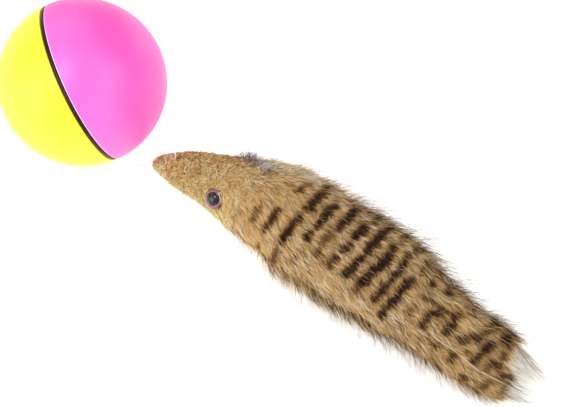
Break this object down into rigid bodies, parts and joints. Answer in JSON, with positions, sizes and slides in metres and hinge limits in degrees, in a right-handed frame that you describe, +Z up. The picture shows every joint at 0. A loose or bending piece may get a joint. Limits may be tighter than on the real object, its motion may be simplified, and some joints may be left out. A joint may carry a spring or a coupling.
{
  "type": "rolling ball cat toy",
  "caption": "Rolling ball cat toy: a two-colour ball with a hanging motor unit inside pulls a striped furry mouse-like toy on a short line; its neck and tail bend.",
  "frame": {"origin": "middle of the toy's length and width, on the floor", "axes": "+X from the ball to the tip of the tail, +Z up"},
  "size_m": [0.3103, 0.0818, 0.0818],
  "materials": {
    "magenta_shell": "smooth satin gloss",
    "yellow_shell": "smooth satin gloss",
    "black_ring": "satin",
    "steel": "bright",
    "white_plastic": "moulded",
    "grey_plastic": "moulded",
    "black_plastic": "polished",
    "brass": "turned",
    "brown_eye": "clear and polished",
    "tan_plush": "short plush pile",
    "striped_fur": "long combed pile with dark stripes",
    "stuffing": "loose polyester fibre",
    "line": "twisted nylon",
    "red_wire": "insulated wire",
    "black_wire": "insulated wire"
  },
  "bodies": {
    "ball": {"shell_magenta": "magenta_shell", "seam_ring": "black_ring", "drive_axle": "steel", "output_gear": "white_plastic"},
    "yellow_half": {"shell_yellow": "yellow_shell"},
    "motor_unit": {"case_body": "grey_plastic", "case_lid": "grey_plastic", "battery_door": "grey_plastic", "idle_pin": "steel", "battery_cell": "steel", "battery_spring": "steel", "contact_plate": "steel", "motor_can": "steel", "motor_end_bell": "black_plastic", "case_screw_1": "steel", "case_screw_2": "steel", "case_screw_3": "steel", "idler_pin_1": "steel", "idler_pin_2": "steel", "switch_body": "black_plastic", "wire_red": "red_wire", "wire_black": "black_wire"},
    "switch_slide": {"switch_knob": "white_plastic"},
    "idler_1": {"idler_gear_1": "white_plastic"},
    "idler_2": {"idler_gear_2": "white_plastic"},
    "rotor": {"motor_armature": "brass", "motor_pinion": "brass"},
    "mouse_head": {"head_skin": "tan_plush", "head_stuffing": "stuffing", "left_eye": "brown_eye", "left_pupil": "black_plastic", "left_eye_washer": "white_plastic", "right_eye": "brown_eye", "right_pupil": "black_plastic", "right_eye_washer": "white_plastic", "nose_knot": "line", "nose_line": "line"},
    "mouse_body": {"body_skin": "striped_fur", "body_stuffing": "stuffing"},
    "mouse_tail": {"tail_skin": "striped_fur", "tail_stuffing": "stuffing"}
  },
  "joints": [
    {"name": "yellow_twist", "type": "hinge", "parent": "ball", "child": "yellow_half", "pos_m": [-0.11425, 0, 0.041], "axis": [0.6113, 0.7286, 0.309], "range_deg": [0, 25]},
    {"name": "motor_unit_turn", "type": "hinge", "parent": "ball", "child": "motor_unit", "pos_m": [-0.11425, 0, 0.041], "axis": [0.6113, 0.7286, 0.309], "continuous": true},
    {"name": "idler_2_spin", "type": "hinge", "parent": "motor_unit", "child": "idler_2", "pos_m": [-0.12046, 0.0038, 0.04431], "axis": [0.6113, 0.7286, 0.309], "continuous": true},
    {"name": "idler_1_spin", "type": "hinge", "parent": "motor_unit", "child": "idler_1", "pos_m": [-0.12509, 0.00923, 0.04069], "axis": [0.6113, 0.7286, 0.309], "continuous": true},
    {"name": "rotor_spin", "type": "hinge", "parent": "motor_unit", "child": "rotor", "pos_m": [-0.12309, 0.01077, 0.0331], "axis": [0.6113, 0.7286, 0.309], "continuous": true},
    {"name": "switch_travel", "type": "slide", "parent": "motor_unit", "child": "switch_slide", "axis": [0.6113, 0.7286, 0.309], "range_m": [0, 0.002]},
    {"name": "mouse_swing", "type": "hinge", "parent": "ball", "child": "mouse_head", "pos_m": [-0.08715, -0.01047, 0], "axis": [0, 0, 1], "range_deg": [-30, 30]},
    {"name": "neck_bend", "type": "hinge", "parent": "mouse_head", "child": "mouse_body", "pos_m": [-0.00725, 0.004, 0.0186], "axis": [0, 0, 1], "range_deg": [-15, 15]},
    {"name": "tail_bend", "type": "hinge", "parent": "mouse_body", "child": "mouse_tail", "pos_m": [0.07875, -0.0012, 0.0158], "axis": [0, 0, 1], "range_deg": [-20, 20]}
  ],
  "couplings": [
    {"joint": "idler_2_spin", "follows": "motor_unit_turn", "ratio": 3},
    {"joint": "idler_1_spin", "follows": "motor_unit_turn", "ratio": -9},
    {"joint": "rotor_spin", "follows": "motor_unit_turn", "ratio": 27}
  ]
}
